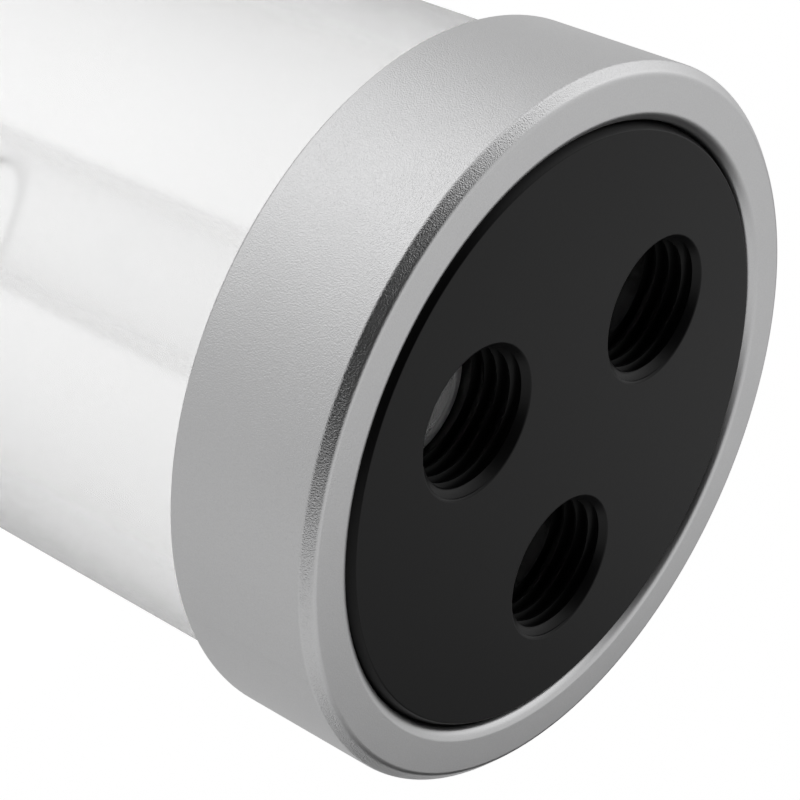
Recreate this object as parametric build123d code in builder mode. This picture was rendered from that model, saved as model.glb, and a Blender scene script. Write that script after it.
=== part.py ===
"""Tube reservoir for a liquid cooling loop: a clear tube closed at each end by a black cap,
which a screwed aluminium ring clamps against the tube's end.

Millimetres, +Z up along the tube. The origin is the centre of the bottom ring's rim.
Depths are measured from an end of the tank inwards, and angles from +X towards +Y.
"""

import os

from build123d import *

# The tank as a whole
overall_height = 200.0
tube_radius = 30.0
tube_wall = 5.0

# The screwed rings
ring_wall = 2.9
ring_length = 15.0
ring_chamfer = 0.9
ring_lip = 3.0
ring_mouth_break = 0.65
ring_heel_break = 0.5
ring_lead_in = 0.8

# The thread between ring and tube, left plain here: the tube's end is turned down for it
thread_step = 1.2
thread_clearance = 0.3
thread_lead_in = 0.5
relief_width = 1.5
relief_depth = 0.9
shoulder_gap = 0.25

# The caps
cap_face_recess = 0.1
cap_face_chamfer = 0.7
mouth_gap = 0.15
flange_thickness = 3.5
flange_clearance = 0.4
flange_shoulder = 1.8
plug_length = 6.5
plug_clearance = 0.2
plug_lead_in = 0.5

# The seals. A bore seal is a round cord squeezed to an ellipse of the same area
gasket_thickness = 1.0
gasket_inset = 0.4
bore_seal_cord = 2.0
bore_seal_groove_width = 2.7
bore_seal_groove_depth = 1.5
bore_seal_clearance = 0.15

# The ports: three G 1/4 pipe threads on a circle in each cap, drilled at tapping size. The web
# is what is left between the groove of the plug's seal and that of the inner tube's seal
port_count = 3
port_web = 1.8
port_first_angle = -90.0
port_bore_radius = 5.9
port_mouth_radius = 6.7
port_exit_chamfer = 0.5

# The inner tube, which hangs from the top cap behind its first port
inner_tube_radius = 6.5
inner_tube_wall = 1.25
inner_tube_top_depth = 6.7
inner_tube_length = 63.0
inner_tube_socket_clearance = 0.1
inner_tube_hole_radius = 4.25
inner_tube_hole_depth = 50.8
inner_seal_cord = 1.5
inner_seal_groove_width = 2.0
inner_seal_groove_depth = 1.2
inner_seal_clearance = 0.03

# Sizes that follow from the ones above
tube_bore_radius = tube_radius - tube_wall
tube_end_radius = tube_radius - thread_step
ring_bore_radius = tube_end_radius + thread_clearance
ring_radius = ring_bore_radius + ring_wall
flange_radius = ring_bore_radius - flange_clearance
cap_face_radius = flange_radius - flange_shoulder
ring_mouth_radius = cap_face_radius + mouth_gap
plug_radius = tube_bore_radius - plug_clearance
bore_seal_floor_radius = plug_radius - bore_seal_groove_depth
flange_depth = ring_lip
gasket_depth = flange_depth + flange_thickness
tube_end_depth = gasket_depth + gasket_thickness
cap_depth = tube_end_depth + plug_length
bore_seal_depth = tube_end_depth + plug_length / 2
shoulder_depth = ring_length + shoulder_gap
socket_radius = inner_tube_radius + inner_tube_socket_clearance
inner_seal_depth = (inner_tube_top_depth + cap_depth) / 2
inner_seal_floor_radius = socket_radius + inner_seal_groove_depth
port_circle_radius = bore_seal_floor_radius - port_web - inner_seal_floor_radius


class End:
    """One end of the tank: where a depth lies on Z, and the planes its pieces are drawn on."""

    def __init__(self, name, face_height, outward):
        self.name = name
        self.face_height = face_height
        self.outward = outward

    def level(self, depth):
        """Height of a depth measured from this end inwards."""
        return self.face_height - self.outward * depth

    def meridian(self):
        """Half-section plane: its x is the radius and its y is the depth."""
        return Plane(
            origin=(0, 0, self.face_height),
            x_dir=(1, 0, 0),
            z_dir=(0, self.outward, 0),
        )

    def face(self, depth):
        """Plane across the tank at a depth, facing out of this end."""
        return Plane(
            origin=(0, 0, self.level(depth)),
            x_dir=(1, 0, 0),
            z_dir=(0, 0, self.outward),
        )

    def back(self, depth):
        """The same plane, facing into the tank."""
        return Plane(
            origin=(0, 0, self.level(depth)),
            x_dir=(1, 0, 0),
            z_dir=(0, 0, -self.outward),
        )


top_end = End("top", overall_height, 1)
bottom_end = End("bottom", 0.0, -1)


def rims(solid, radius, height):
    """The circular edges of a solid that have this radius and lie at this height."""
    circles = solid.edges().filter_by(GeomType.CIRCLE)
    at_height = circles.filter_by(lambda edge: abs(edge.arc_center.Z - height) < 0.001)
    return at_height.filter_by(lambda edge: abs(edge.radius - radius) < 0.001)


def first_port_angle(plane_turn):
    """Angle of the first port on a plane whose y runs along +Y (1) or -Y (-1)."""
    return plane_turn * port_first_angle


def make_ring(end):
    """Screwed ring: its lip holds the cap's flange and its bore runs over the tube's end."""
    with BuildPart() as ring:
        with BuildSketch(end.meridian()):
            with BuildLine():
                Polyline(
                    (ring_mouth_radius, 0),
                    (ring_radius, 0),
                    (ring_radius, ring_length),
                    (ring_bore_radius, ring_length),
                    (ring_bore_radius, ring_lip),
                    (ring_mouth_radius, ring_lip),
                    close=True,
                )
            make_face()
        revolve(axis=Axis.Z)
        chamfer(rims(ring, ring_radius, end.level(0)), ring_chamfer)
        chamfer(rims(ring, ring_mouth_radius, end.level(0)), ring_mouth_break)
        chamfer(rims(ring, ring_radius, end.level(ring_length)), ring_heel_break)
        chamfer(rims(ring, ring_bore_radius, end.level(ring_length)), ring_lead_in)
    ring.part.label = end.name + "_ring"
    return ring.part


def make_cap(end, holds_inner_tube):
    """Black cap: face disc, clamped flange, and a grooved plug that enters the tube's bore."""
    groove_top = bore_seal_depth - bore_seal_groove_width / 2
    groove_bottom = bore_seal_depth + bore_seal_groove_width / 2
    with BuildPart() as cap:
        with BuildSketch(end.meridian()):
            with BuildLine():
                Polyline(
                    (0, cap_face_recess),
                    (cap_face_radius, cap_face_recess),
                    (cap_face_radius, flange_depth),
                    (flange_radius, flange_depth),
                    (flange_radius, gasket_depth),
                    (plug_radius, gasket_depth),
                    (plug_radius, groove_top),
                    (bore_seal_floor_radius, groove_top),
                    (bore_seal_floor_radius, groove_bottom),
                    (plug_radius, groove_bottom),
                    (plug_radius, cap_depth),
                    (0, cap_depth),
                    close=True,
                )
            make_face()
        revolve(axis=Axis.Z)
        chamfer(rims(cap, cap_face_radius, end.level(cap_face_recess)), cap_face_chamfer)
        chamfer(rims(cap, plug_radius, end.level(cap_depth)), plug_lead_in)

        with Locations(end.face(cap_face_recess)):
            with PolarLocations(port_circle_radius, port_count, first_port_angle(end.outward)):
                CounterSinkHole(
                    radius=port_bore_radius,
                    counter_sink_radius=port_mouth_radius,
                    counter_sink_angle=90,
                )
        if holds_inner_tube:
            socket_length = cap_depth - inner_tube_top_depth
            with Locations(end.back(cap_depth)):
                with PolarLocations(port_circle_radius, 1, first_port_angle(-end.outward)):
                    Hole(radius=socket_radius, depth=socket_length)
            with BuildSketch(end.back(inner_seal_depth)):
                with PolarLocations(port_circle_radius, 1, first_port_angle(-end.outward)):
                    Circle(inner_seal_floor_radius)
            extrude(amount=inner_seal_groove_width / 2, both=True, mode=Mode.SUBTRACT)
            chamfer(rims(cap, socket_radius, end.level(cap_depth)), port_exit_chamfer)
        chamfer(rims(cap, port_bore_radius, end.level(cap_depth)), port_exit_chamfer)
    cap.part.label = end.name + "_cap"
    return cap.part


def make_gasket(end):
    """Flat gasket between the cap's flange and the tube's end face."""
    with BuildPart() as gasket:
        with BuildSketch(end.back(gasket_depth)):
            Circle(tube_end_radius - gasket_inset)
            Circle(tube_bore_radius + gasket_inset, mode=Mode.SUBTRACT)
        extrude(amount=gasket_thickness)
    gasket.part.label = end.name + "_gasket"
    return gasket.part


def squeezed_cord(cord, inner, outer):
    """Half thicknesses of a round cord squeezed between two radii, at the same area."""
    across = (outer - inner) / 2
    along = (cord / 2) ** 2 / across
    return across, along


def make_bore_seal(end):
    """O-ring in the plug's groove, which seals against the bore of the tube."""
    outer = tube_bore_radius - bore_seal_clearance
    across, along = squeezed_cord(bore_seal_cord, bore_seal_floor_radius, outer)
    with BuildPart() as bore_seal:
        with BuildSketch(end.meridian()):
            with Locations((bore_seal_floor_radius + across, bore_seal_depth)):
                Ellipse(across, along)
        revolve(axis=Axis.Z)
    bore_seal.part.label = end.name + "_bore_seal"
    return bore_seal.part


def make_tube():
    """Thick clear tube, turned down at both ends for the rings' thread, with a runout groove."""
    with BuildPart() as tube:
        with BuildSketch(Plane.XY.offset(tube_end_depth)):
            Circle(tube_radius)
            Circle(tube_bore_radius, mode=Mode.SUBTRACT)
        extrude(amount=overall_height - 2 * tube_end_depth)
        for end in (top_end, bottom_end):
            with BuildSketch(end.back(tube_end_depth)):
                Circle(tube_radius)
                Circle(tube_end_radius, mode=Mode.SUBTRACT)
            extrude(amount=shoulder_depth - tube_end_depth, mode=Mode.SUBTRACT)
            with BuildSketch(end.face(shoulder_depth)):
                Circle(tube_end_radius)
                Circle(tube_end_radius - relief_depth, mode=Mode.SUBTRACT)
            extrude(amount=relief_width, mode=Mode.SUBTRACT)
            chamfer(rims(tube, tube_end_radius, end.level(tube_end_depth)), thread_lead_in)
            chamfer(rims(tube, tube_bore_radius, end.level(tube_end_depth)), thread_lead_in)
    tube.part.label = "tank_tube"
    return tube.part


def make_inner_tube():
    """Thin tube that leads the coolant from the first top port down into the tank."""
    end = top_end
    hole_plane = Plane(
        origin=(0, 0, end.level(inner_tube_hole_depth)),
        x_dir=(0, 0, 1),
        z_dir=Vector(1, 0, 0).rotate(Axis.Z, port_first_angle),
    )
    with BuildPart() as inner_tube:
        with BuildSketch(end.back(inner_tube_top_depth)):
            with PolarLocations(port_circle_radius, 1, first_port_angle(-end.outward)):
                Circle(inner_tube_radius)
                Circle(inner_tube_radius - inner_tube_wall, mode=Mode.SUBTRACT)
        extrude(amount=inner_tube_length)
        with BuildSketch(hole_plane.offset(port_circle_radius)):
            Circle(inner_tube_hole_radius)
        extrude(amount=inner_tube_radius + 1.0, mode=Mode.SUBTRACT)
    inner_tube.part.label = "inner_tube"
    return inner_tube.part


def make_inner_tube_seal():
    """O-ring in the socket's groove, which grips the inner tube."""
    inner = inner_tube_radius + inner_seal_clearance
    outer = inner_seal_floor_radius - inner_seal_clearance
    across, along = squeezed_cord(inner_seal_cord, inner, outer)
    axis_x = port_circle_radius
    with BuildPart() as inner_tube_seal:
        with BuildSketch(top_end.meridian()):
            with Locations((axis_x + inner + across, inner_seal_depth)):
                Ellipse(across, along)
        revolve(axis=Axis((axis_x, 0, 0), (0, 0, 1)))
    turned = inner_tube_seal.part.rotate(Axis.Z, port_first_angle)
    turned.label = "inner_tube_seal"
    return turned


parts = [
    make_tube(),
    make_ring(top_end),
    make_cap(top_end, holds_inner_tube=True),
    make_gasket(top_end),
    make_bore_seal(top_end),
    make_inner_tube(),
    make_inner_tube_seal(),
    make_ring(bottom_end),
    make_cap(bottom_end, holds_inner_tube=False),
    make_gasket(bottom_end),
    make_bore_seal(bottom_end),
]

os.makedirs("parts", exist_ok=True)
for piece in parts:
    export_step(piece, "parts/" + piece.label + ".step")
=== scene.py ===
"""Looks of a tube reservoir for a liquid cooling loop: a clear acrylic tube, closed at each end
by a black cap with three threaded ports, which a screwed and blasted aluminium ring holds."""

import math

import bpy
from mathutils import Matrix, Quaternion, Vector


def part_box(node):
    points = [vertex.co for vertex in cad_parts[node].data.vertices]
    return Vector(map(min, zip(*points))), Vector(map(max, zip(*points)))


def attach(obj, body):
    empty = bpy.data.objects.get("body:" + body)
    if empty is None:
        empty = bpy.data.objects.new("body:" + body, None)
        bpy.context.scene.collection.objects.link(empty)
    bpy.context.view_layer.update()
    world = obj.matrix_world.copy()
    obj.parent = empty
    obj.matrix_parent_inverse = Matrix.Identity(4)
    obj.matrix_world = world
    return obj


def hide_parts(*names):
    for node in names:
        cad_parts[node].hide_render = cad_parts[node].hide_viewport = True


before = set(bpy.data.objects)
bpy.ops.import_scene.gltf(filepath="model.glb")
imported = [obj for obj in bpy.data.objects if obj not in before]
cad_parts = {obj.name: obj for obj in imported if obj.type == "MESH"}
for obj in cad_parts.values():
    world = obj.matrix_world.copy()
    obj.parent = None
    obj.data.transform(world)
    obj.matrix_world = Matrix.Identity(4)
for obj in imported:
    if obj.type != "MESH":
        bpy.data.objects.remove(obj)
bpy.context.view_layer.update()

mm = 0.001


# Camera. It looks down on the tank's top end and is rolled, so that the tank lies across the
# picture with that end at the lower right. Place, roll and lens were fitted to the outlines of
# the ring and the ports in the photograph.
camera_place = Vector((-0.02674, -0.17491, 0.30106))
camera_aim = Vector((0.00145, -0.01084, 0.19021))
camera_roll = math.radians(114.941)
camera_lens = 109.607
camera_sensor = 36.0

camera = bpy.data.objects.new("camera", bpy.data.cameras.new("camera"))
bpy.context.scene.collection.objects.link(camera)
camera.data.lens = camera_lens
camera.data.sensor_width = camera_sensor
camera.location = camera_place
camera.rotation_mode = "QUATERNION"
upright = (camera_aim - camera_place).to_track_quat("-Z", "Y")
camera.rotation_quaternion = upright @ Quaternion((0, 0, 1), camera_roll)
bpy.context.scene.camera = camera
bpy.context.scene.view_settings.view_transform = "Standard"


# Studio. The tank stands on a white floor in a light tent: soft white light from all round,
# stronger at the far left, weaker at the right, and darkest where the camera stands in the
# tent's opening. Pools of light are painted into the floor's glow, and metal and acrylic show
# them.
tent_light = 0.66
# Each patch of the tent: azimuth, elevation, the angle where it fades out, the light it adds.
tent_patches = (
    (160.5, 1.5, 54, 0.55),
    (-106.5, 47, 56, -1.3),
    (50.5, 9, 33, -1.47),
    (60.5, 14.5, 23, -0.62),
    (90.0, 5.0, 17, -0.45),
)
floor_side = 6.0
floor_grey = 0.88
floor_white_share = 0.7
# Each painted pool of light on the floor: its place, the distance where it fades out, the glow it
# adds.
floor_white = 1.27
seen_painted_pools = ((0.01, 0.09, 0.15, 0.2),)
floor_glow = 0.56
mirrored_painted_pools = (
    (-0.27, -0.225, 0.4, 0.9),
    (-0.23, 0.23, 0.25, 0.13),
    (0.26, -0.19, 0.25, 0.1),
)


class Value:
    """A node's output in a finish. Sums with it add Math nodes."""

    def __init__(self, finish, socket):
        self.finish = finish
        self.socket = socket

    def maths(self, operation, first, second):
        return self.finish.node("Math", {"operation": operation}, {0: first, 1: second})

    def __add__(self, other):
        return self.maths("ADD", self, other)

    def __radd__(self, other):
        return self.maths("ADD", other, self)

    def __sub__(self, other):
        return self.maths("SUBTRACT", self, other)

    def __rsub__(self, other):
        return self.maths("SUBTRACT", other, self)

    def __mul__(self, other):
        return self.maths("MULTIPLY", self, other)

    def __rmul__(self, other):
        return self.maths("MULTIPLY", other, self)

    def at_least(self, other):
        return self.maths("MAXIMUM", self, other)


class Finish:
    """The nodes of one material, or of the world."""

    def __init__(self, owner):
        owner.use_nodes = True
        self.owner = owner
        self.tree = owner.node_tree
        self.tree.nodes.clear()

    def node(self, kind, settings=None, inputs=None, output=0):
        """Adds a node with its settings and inputs, and returns one of its outputs."""
        node = self.tree.nodes.new("ShaderNode" + kind)
        for name, setting in (settings or {}).items():
            setattr(node, name, setting)
        for name, value in (inputs or {}).items():
            if isinstance(value, Value):
                self.tree.links.new(value.socket, node.inputs[name])
            else:
                node.inputs[name].default_value = value
        if node.outputs:
            return Value(self, node.outputs[output])

    def place(self):
        """The place of a point on the piece, in metres."""
        return self.node("TexCoord", output="Object")

    def vector(self, operation, inputs, output=0):
        """Vector maths. Its output is a vector, or a number where "Value" is asked for."""
        return self.node("VectorMath", {"operation": operation}, inputs, output)

    def fade(self, value, start, end, kind="LINEAR"):
        """Rises from 0 where a value is at its start to 1 where it is at its end."""
        inputs = {"Value": value, "From Min": start, "From Max": end}
        return self.node("MapRange", {"interpolation_type": kind}, inputs)

    def noise(self, size, detail=2.0):
        """A cloudy pattern of about this size in metres, from 0 to 1."""
        inputs = {"Vector": self.place(), "Scale": 1 / size, "Detail": detail}
        return self.node("TexNoise", inputs=inputs)

    def blend(self, share, first, second):
        """A colour between two colours, at a share from 0, the first, to 1, the second."""
        return self.node("Mix", {"data_type": "RGBA"}, {0: share, 6: first, 7: second}, 2)


world = bpy.data.worlds.new("light_tent")
bpy.context.scene.world = world
tent = Finish(world)
ray = tent.node("TexCoord", output="Generated")
light = tent_light
for azimuth, elevation, angle, more_light in tent_patches:
    level = math.cos(math.radians(elevation))
    middle = (
        level * math.cos(math.radians(azimuth)),
        level * math.sin(math.radians(azimuth)),
        math.sin(math.radians(elevation)),
    )
    nearness = tent.vector("DOT_PRODUCT", {0: ray, 1: middle}, "Value")
    patch = tent.fade(nearness, math.cos(math.radians(angle)), 1.0, "SMOOTHSTEP")
    light = patch * more_light + light
tent_glow = tent.node(
    "Background", inputs={"Color": (1, 1, 1, 1), "Strength": light.at_least(0.0)}
)
tent.node("OutputWorld", inputs={"Surface": tent_glow})

bpy.ops.object.select_all(action="DESELECT")
bpy.ops.mesh.primitive_plane_add(size=floor_side)
floor = bpy.context.object
floor.name = "floor"
floor_finish = Finish(bpy.data.materials.new("white_floor"))
through = floor_finish.node("LightPath", output="Is Transmission Ray")
seen = floor_finish.node("LightPath", output="Is Camera Ray") + through
mirrored = (floor_finish.node("LightPath", output="Is Glossy Ray") - through).at_least(0.0)


def painted_pool_glow(glow, pools):
    """The floor's glow with more painted light in each pool."""
    for x, y, reach, more_glow in pools:
        inputs = {0: floor_finish.place(), 1: (x, y, 0)}
        distance = floor_finish.vector("DISTANCE", inputs, "Value")
        glow = floor_finish.fade(distance, reach, 0.0, "SMOOTHSTEP") * more_glow + glow
    return glow


# Painted pools of light in the floor's glow: one that camera and transmission rays see, and
# several that glossy rays see.
seen_glow = seen * painted_pool_glow(floor_white, seen_painted_pools)
mirrored_glow = mirrored * painted_pool_glow(floor_glow, mirrored_painted_pools)
glow = floor_finish.node("Emission", inputs={"Color": seen_glow + mirrored_glow})
card = floor_finish.node("BsdfDiffuse", inputs={"Color": (floor_grey, floor_grey, floor_grey, 1)})
floor_surface = floor_finish.node(
    "MixShader", inputs={0: seen * floor_white_share + mirrored, 1: card, 2: glow}
)
floor_finish.node("OutputMaterial", inputs={"Surface": floor_surface})
floor.data.materials.append(floor_finish.owner)


# Screw rings. Each is turned from aluminium bar, with a chamfer round its front rim and an inner
# thread that runs on the tube's end, then bead blasted and clear anodised to a fine silver grain.
# Sections are (radius, depth) in millimetres, with the depth measured from an end of the tank.
top_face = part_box("top_ring")[1].z
bottom_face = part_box("bottom_ring")[0].z
ring_section = (
    (27.05, 0.65), (27.7, 0.0), (31.1, 0.0), (32.0, 0.9), (32.0, 14.5), (31.5, 15.0),
    (29.9, 15.0), (29.1, 14.2), (29.1, 3.0), (27.05, 3.0),
)
screw_pitch = 1.5
ring_groove = ((28.6, 0.62), (29.85, 0.2), (29.85, -0.2), (28.6, -0.62))
ring_groove_depths = (16.75, 6.6)
# Each soft edge: radius, depth, and how wide the blasting has rounded it.
soft_edges = ((27.7, 0.0, 0.35), (27.05, 0.65, 0.3), (31.1, 0.0, 0.25), (32.0, 0.9, 0.15))
edge_round = 0.1 * mm
same_point = 0.001 * mm
edge_radius_slack = 0.02 * mm
edge_depth_slack = 0.01 * mm
sharp_angle = math.radians(35)

silver = (0.76, 0.76, 0.765, 1)
silver_pit = (0.645, 0.645, 0.65, 1)
grain_size = 0.12 * mm
grain_depth = 0.045 * mm
# The rim is smoother than the side: its grain has this share of the side's depth.
rim_grain = 0.25
rim_radius = 31.1 * mm
side_radius = 31.4 * mm
ring_roughness = 0.31
ring_cloud_size = 6 * mm
ring_cloud_roughness = 0.06


def select_only(piece):
    """Makes a piece the only selected and the active one."""
    bpy.ops.object.select_all(action="DESELECT")
    piece.select_set(True)
    bpy.context.view_layer.objects.active = piece


def turn(name, section, centre=(0, 0), solid=False, steps=192):
    """Turns a section about an upright axis: a circle is drawn out and widened from each point
    of the section to the next. A solid one is faced over at its first and last points."""
    points = [(radius * mm, top_face - depth * mm) for radius, depth in section]
    if not solid:
        points.append(points[0])
    bpy.ops.object.select_all(action="DESELECT")
    radius, height = points[0]
    bpy.ops.mesh.primitive_circle_add(
        vertices=steps, radius=radius, location=(centre[0] * mm, centre[1] * mm, height)
    )
    piece = bpy.context.object
    piece.name = name
    bpy.ops.object.mode_set(mode="EDIT")
    bpy.ops.mesh.select_all(action="SELECT")
    for next_radius, next_height in points[1:]:
        bpy.ops.mesh.extrude_edges_move()
        bpy.ops.transform.translate(value=(0, 0, next_height - height))
        widen = next_radius / radius
        bpy.ops.transform.resize(
            value=(widen, widen, 1),
            center_override=(centre[0] * mm, centre[1] * mm, next_height),
        )
        radius, height = next_radius, next_height
    bpy.ops.mesh.select_all(action="SELECT")
    bpy.ops.mesh.remove_doubles(threshold=same_point)
    if solid:
        bpy.ops.mesh.fill_holes(sides=0)
    bpy.ops.mesh.normals_make_consistent(inside=False)
    bpy.ops.object.mode_set(mode="OBJECT")
    bpy.ops.object.transform_apply()
    return piece


def apply_modifier(piece, kind, **settings):
    """Adds a modifier to a piece and applies it."""
    select_only(piece)
    bpy.ops.object.modifier_add(type=kind)
    modifier = piece.modifiers[-1]
    for name, setting in settings.items():
        setattr(modifier, name, setting)
    bpy.ops.object.modifier_apply(modifier=modifier.name)


def thread_tool(profile, depths, pitch, centre=(0, 0), steps=96):
    """A solid that follows the groove of a right-handed thread from one depth up to another.
    The profile is (radius, height) points across the groove."""
    lowest = top_face - depths[0] * mm
    turns = (depths[0] - depths[1]) / pitch
    bpy.ops.object.select_all(action="DESELECT")
    bpy.ops.mesh.primitive_circle_add(vertices=len(profile), radius=mm)
    tool = bpy.context.object
    for vertex, (radius, height) in zip(tool.data.vertices, profile):
        vertex.co = (radius * mm, 0, lowest + height * mm)
    apply_modifier(
        tool,
        "SCREW",
        axis="Z",
        angle=2 * math.pi * turns,
        screw_offset=pitch * turns * mm,
        steps=round(steps * turns),
        render_steps=round(steps * turns),
    )
    bpy.ops.object.mode_set(mode="EDIT")
    bpy.ops.mesh.select_all(action="SELECT")
    bpy.ops.mesh.fill_holes(sides=0)
    bpy.ops.mesh.normals_make_consistent(inside=False)
    bpy.ops.transform.translate(value=(centre[0] * mm, centre[1] * mm, 0))
    bpy.ops.object.mode_set(mode="OBJECT")
    return tool


def cut(piece, tool):
    """Takes a tool's shape out of a piece, and puts the tool away."""
    apply_modifier(piece, "BOOLEAN", operation="DIFFERENCE", solver="EXACT", object=tool)
    bpy.data.objects.remove(tool)


def round_edges(piece, width):
    """Takes the sharpness off all edges of a piece."""
    apply_modifier(
        piece, "BEVEL", width=width, segments=2, limit_method="ANGLE", angle_limit=sharp_angle
    )


def soften(piece, radius, depth, width, centre=(0, 0)):
    """Rounds the edge of a piece that runs round a centre at this radius and depth."""
    select_only(piece)
    bpy.ops.object.mode_set(mode="EDIT")
    bpy.ops.mesh.select_mode(type="EDGE")
    bpy.ops.mesh.select_all(action="DESELECT")
    bpy.ops.object.mode_set(mode="OBJECT")
    middle = Vector((centre[0] * mm, centre[1] * mm, top_face - depth * mm))
    on_edge = [
        abs((vertex.co - middle).length - radius * mm) < edge_radius_slack
        and abs(vertex.co.z - middle.z) < edge_depth_slack
        for vertex in piece.data.vertices
    ]
    for edge in piece.data.edges:
        edge.select = on_edge[edge.vertices[0]] and on_edge[edge.vertices[1]]
    bpy.ops.object.mode_set(mode="EDIT")
    bpy.ops.mesh.bevel(offset=width, segments=4, affect="EDGES")
    bpy.ops.object.mode_set(mode="OBJECT")


def smooth(piece):
    """Shades a piece smooth between its edges."""
    select_only(piece)
    bpy.ops.object.shade_smooth_by_angle(angle=sharp_angle)
    apply_modifier(piece, "WEIGHTED_NORMAL", keep_sharp=True)


def turn_over(piece, name):
    """Copies a piece of the top end to the bottom end, turned over end for end."""
    select_only(piece)
    bpy.ops.object.duplicate()
    copy = bpy.context.object
    copy.name = name
    bpy.ops.transform.rotate(
        value=math.pi, orient_axis="Y", center_override=(0, 0, (top_face + bottom_face) / 2)
    )
    bpy.ops.object.transform_apply()
    return copy


blasted = Finish(bpy.data.materials.new("blasted_aluminium"))
grain = blasted.noise(grain_size)
across = blasted.vector("MULTIPLY", {0: blasted.place(), 1: (1, 1, 0)})
axis_distance = blasted.vector("LENGTH", {0: across}, "Value")
outside = blasted.fade(axis_distance, rim_radius, side_radius)
grain_height = (grain - 0.5) * (outside * (1 - rim_grain) + rim_grain)
blasted_shader = blasted.node(
    "BsdfPrincipled",
    inputs={
        "Base Color": blasted.blend(grain, silver_pit, silver),
        "Metallic": 1.0,
        "Roughness": blasted.noise(ring_cloud_size) * ring_cloud_roughness + ring_roughness,
        "Normal": blasted.node("Bump", inputs={"Distance": grain_depth, "Height": grain_height}),
    },
)
blasted.node("OutputMaterial", inputs={"Surface": blasted_shader})

top_ring = turn("ring_top", ring_section)
for radius, depth, width in soft_edges:
    soften(top_ring, radius, depth, width * mm)
round_edges(top_ring, edge_round)
cut(top_ring, thread_tool(ring_groove, ring_groove_depths, screw_pitch))
smooth(top_ring)
top_ring.data.materials.append(blasted.owner)
bottom_ring = turn_over(top_ring, "ring_bottom")
for piece, body in ((top_ring, "top_ring"), (bottom_ring, "bottom_ring")):
    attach(piece, body)
    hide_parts(body)


# Caps. Each is turned from black acetal: a face disc with a broken edge, a flange under the
# ring's lip, and a plug with a groove for its seal. Three G 1/4 ports are drilled, countersunk
# and tapped through it. The top cap's first port is bored out behind for the inner tube.
cap_section = (
    (26.4, 0.1), (26.85, 0.85), (26.9, 1.0), (26.9, 3.0), (28.7, 3.0), (28.7, 6.5),
    (24.8, 6.5), (24.8, 9.4), (23.3, 9.4), (23.3, 12.1), (24.8, 12.1), (24.8, 13.5),
    (24.3, 14.0),
)
port_section = ((7.8, -1.0), (5.9, 0.9), (5.9, 13.5), (7.4, 15.0))
port_places = ((0.0, -13.7), (11.8645, 6.85), (-11.8645, 6.85))
port_mouth_radius = 6.7
port_mouth_depth = 0.1
port_mouth_round = 0.12 * mm
port_pitch = 1.337
port_groove = ((5.6, 0.71), (6.56, 0.21), (6.56, -0.21), (5.6, -0.71))
port_groove_depths = (5.563, -0.8)
socket_section = (
    (6.6, 6.7), (6.6, 9.35), (7.8, 9.35), (7.8, 11.35), (6.6, 11.35), (6.6, 13.5), (8.1, 15.0),
)
fine_round = 0.08 * mm
acetal_black = (0.005, 0.005, 0.0053, 1)
acetal_roughness = 0.32
acetal_gloss = 0.19
mottle_size = 0.25 * mm
mottle_roughness = 0.06
mottle_depth = 0.03 * mm

acetal = Finish(bpy.data.materials.new("black_acetal"))
mottle = acetal.noise(mottle_size, 3.0)
mottle_inputs = {"Strength": 0.12, "Distance": mottle_depth, "Height": mottle}
acetal_shader = acetal.node(
    "BsdfPrincipled",
    inputs={
        "Base Color": acetal_black,
        "Roughness": mottle * mottle_roughness + acetal_roughness,
        "Specular IOR Level": acetal_gloss,
        "Normal": acetal.node("Bump", inputs=mottle_inputs),
    },
)
acetal.node("OutputMaterial", inputs={"Surface": acetal_shader})

top_cap = turn("cap_top", cap_section, solid=True)
for centre in port_places:
    cut(top_cap, turn("drill", port_section, centre, solid=True, steps=96))
    soften(top_cap, port_mouth_radius, port_mouth_depth, port_mouth_round, centre)
round_edges(top_cap, fine_round)
for centre in port_places:
    cut(top_cap, thread_tool(port_groove, port_groove_depths, port_pitch, centre, steps=64))
bottom_cap = turn_over(top_cap, "cap_bottom")
cut(top_cap, turn("socket_drill", socket_section, port_places[0], solid=True, steps=96))
for piece, body in ((top_cap, "top_cap"), (bottom_cap, "bottom_cap")):
    smooth(piece)
    piece.data.materials.append(acetal.owner)
    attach(piece, body)
    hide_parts(body)


# Tank tube. Cast acrylic, 60 by 5 mm, polished inside and out. Each end is turned down and has
# an outer thread, which runs out into a relief groove in front of the shoulder.
tube_end = (
    (25.0, 8.0), (25.5, 7.5), (29.05, 7.5), (29.55, 8.0), (29.55, 13.75), (27.9, 13.75),
    (27.9, 15.25), (30.0, 15.25),
)
tank_length = (top_face - bottom_face) / mm
other_end = tuple((radius, tank_length - depth) for radius, depth in reversed(tube_end))
tube_groove = ((29.9, 0.74), (28.8, 0.15), (28.8, -0.15), (29.9, -0.74))
tube_groove_depths = (14.5, 6.5)
acrylic_clear = (0.995, 0.995, 0.995, 1)
acrylic_index = 1.49
haze_white = (0.92, 0.92, 0.92, 1)
acrylic_cloud_size = 20 * mm
acrylic_cloud_blur = 0.04
tank_haze = 0.006
tank_slanting_haze = 0.09
tank_blur = 0.14


def make_hazy(acrylic, haze, slanting_haze, blur, solid=1.0):
    """Makes a finish clear acrylic with a share of white haze, more where it is seen aslant."""
    clear = acrylic.node(
        "BsdfPrincipled",
        inputs={
            "Base Color": acrylic_clear,
            "Roughness": acrylic.noise(acrylic_cloud_size) * acrylic_cloud_blur + blur,
            "IOR": acrylic_index,
            "Transmission Weight": 1.0,
            "Alpha": solid,
        },
    )
    lit = acrylic.node("BsdfDiffuse", inputs={"Color": haze_white})
    lit_through = acrylic.node("BsdfTranslucent", inputs={"Color": haze_white})
    white = acrylic.node("MixShader", inputs={0: 0.5, 1: lit, 2: lit_through})
    slant = acrylic.node("LayerWeight", inputs={"Blend": 0.5}, output="Facing")
    mixed = acrylic.node("MixShader", inputs={0: slant * slanting_haze + haze, 1: clear, 2: white})
    acrylic.node("OutputMaterial", inputs={"Surface": mixed})


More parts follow.
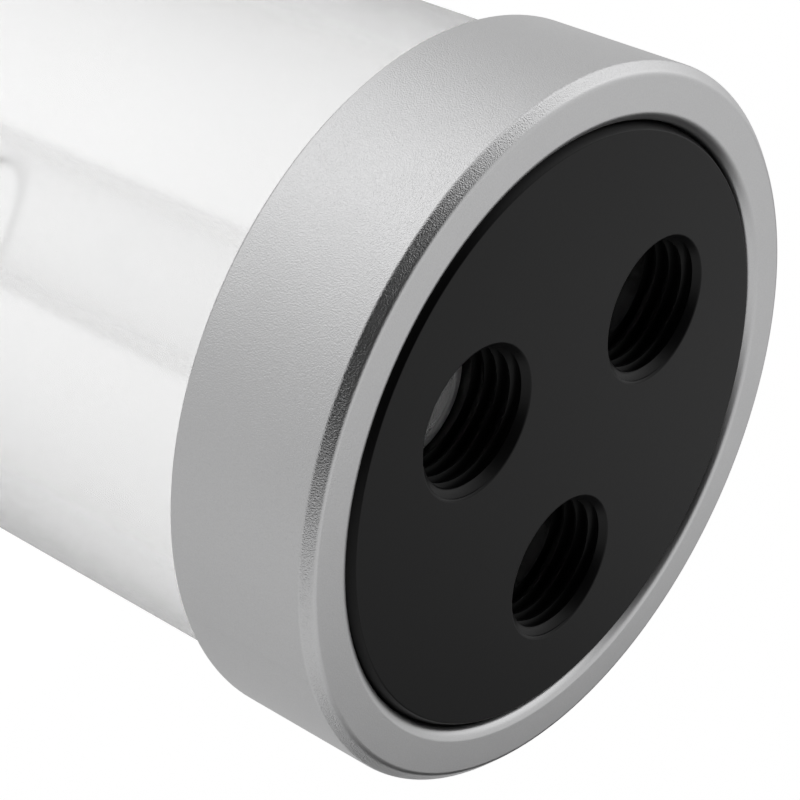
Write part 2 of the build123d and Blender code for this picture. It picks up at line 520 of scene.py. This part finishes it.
tube = turn("tube_body", tube_end + other_end)
round_edges(tube, edge_round)
top_groove = thread_tool(tube_groove, tube_groove_depths, screw_pitch)
bottom_groove = turn_over(top_groove, "bottom_groove")
cut(tube, top_groove)
cut(tube, bottom_groove)
smooth(tube)
tank_acrylic = Finish(bpy.data.materials.new("tank_acrylic"))
make_hazy(tank_acrylic, tank_haze, tank_slanting_haze, tank_blur)
tube.data.materials.append(tank_acrylic.owner)
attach(tube, "tank")
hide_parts("tank_tube")


# Inner tube. Clear acrylic, 13 by 1.25 mm, pushed into the top cap behind its first port. It
# leads the returning liquid down into the tank and lets it out at its end and at a side hole.
# Its sawn end is frosted, and the side hole's edge is polished until it hardly shows.
inner_place = port_places[0]
inner_section = (
    (5.25, 6.9), (5.45, 6.7), (6.3, 6.7), (6.5, 6.9),
    (6.5, 69.5), (6.3, 69.7), (5.45, 69.7), (5.25, 69.5),
)
side_hole_depth = 50.8
side_hole_radius = 4.25
drill_length = 10.0
drill_middle = 6.0
socket_end = 14.0
socket_fade = 0.5
socket_haze = 0.05
sawn_end = 6.95
sawn_fade = 0.1
sawn_haze = 0.5
# The look of the hole's edge: how far from the hole and in front of the tube's axis it fades.
hole_fade = (0.3, 0.1)
hole_front = (1.5, 2.5)
hole_haze = 0.12
hole_clearness = 0.95
inner_slanting_haze = 0.03
inner_blur = 0.05

inner_tube = turn("tube_inner", inner_section, inner_place, steps=96)
bpy.ops.object.select_all(action="DESELECT")
bpy.ops.mesh.primitive_cylinder_add(
    vertices=64,
    radius=side_hole_radius * mm,
    depth=drill_length * mm,
    location=(0, (inner_place[1] - drill_middle) * mm, top_face - side_hole_depth * mm),
    rotation=(math.pi / 2, 0, 0),
)
cut(inner_tube, bpy.context.object)
round_edges(inner_tube, fine_round)
smooth(inner_tube)

inner_acrylic = Finish(bpy.data.materials.new("inner_acrylic"))
place = inner_acrylic.place()
height = inner_acrylic.node("SeparateXYZ", inputs={0: place}, output="Z")
frontage = inner_acrylic.node("SeparateXYZ", inputs={0: place}, output="Y")


def above(depth, fade):
    """1 on the inner tube above a depth, 0 below it, with a fade this far each way."""
    low = top_face - (depth + fade) * mm
    high = top_face - (depth - fade) * mm
    return inner_acrylic.fade(height, low, high)


hole_middle = (0, 0, top_face - side_hole_depth * mm)
hole_offset = inner_acrylic.vector("SUBTRACT", {0: place, 1: hole_middle})
hole_offset = inner_acrylic.vector("MULTIPLY", {0: hole_offset, 1: (1, 0, 1)})
hole_distance = inner_acrylic.vector("LENGTH", {0: hole_offset}, "Value")
in_hole = inner_acrylic.fade(hole_distance, *((side_hole_radius + far) * mm for far in hole_fade))
in_front = inner_acrylic.fade(frontage, *((inner_place[1] - far) * mm for far in hole_front))
hole_edge = in_hole * in_front
inner_haze = (
    above(socket_end, socket_fade) * socket_haze
    + above(sawn_end, sawn_fade) * sawn_haze
    + hole_edge * hole_haze
)
solid = 1.0 - hole_edge * hole_clearness
make_hazy(inner_acrylic, inner_haze, inner_slanting_haze, inner_blur, solid)
inner_tube.data.materials.append(inner_acrylic.owner)
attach(inner_tube, "top_cap")
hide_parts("inner_tube")


# Gaskets and seals. Flat black silicone rings lie between the caps' flanges and the tube's ends,
# and black rubber O-rings sit in the grooves of the plugs and of the inner tube's socket.
soft_parts = (
    ("silicone", (0.03, 0.03, 0.03, 1), 0.45, ("top_gasket", "bottom_gasket")),
    ("rubber", (0.012, 0.012, 0.012, 1), 0.5,
     ("top_bore_seal", "bottom_bore_seal", "inner_tube_seal")),
)
bloom_size = 0.8 * mm
bloom_roughness = 0.15
bloom_depth = 0.05 * mm

for name, colour, roughness, nodes in soft_parts:
    finish = Finish(bpy.data.materials.new(name))
    bloom = finish.noise(bloom_size, 4.0)
    bloom_inputs = {"Strength": 0.2, "Distance": bloom_depth, "Height": bloom}
    shader = finish.node(
        "BsdfPrincipled",
        inputs={
            "Base Color": colour,
            "Roughness": bloom * bloom_roughness + roughness,
            "Normal": finish.node("Bump", inputs=bloom_inputs),
        },
    )
    finish.node("OutputMaterial", inputs={"Surface": shader})
    for node in nodes:
        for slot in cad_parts[node].material_slots:
            slot.material = finish.owner
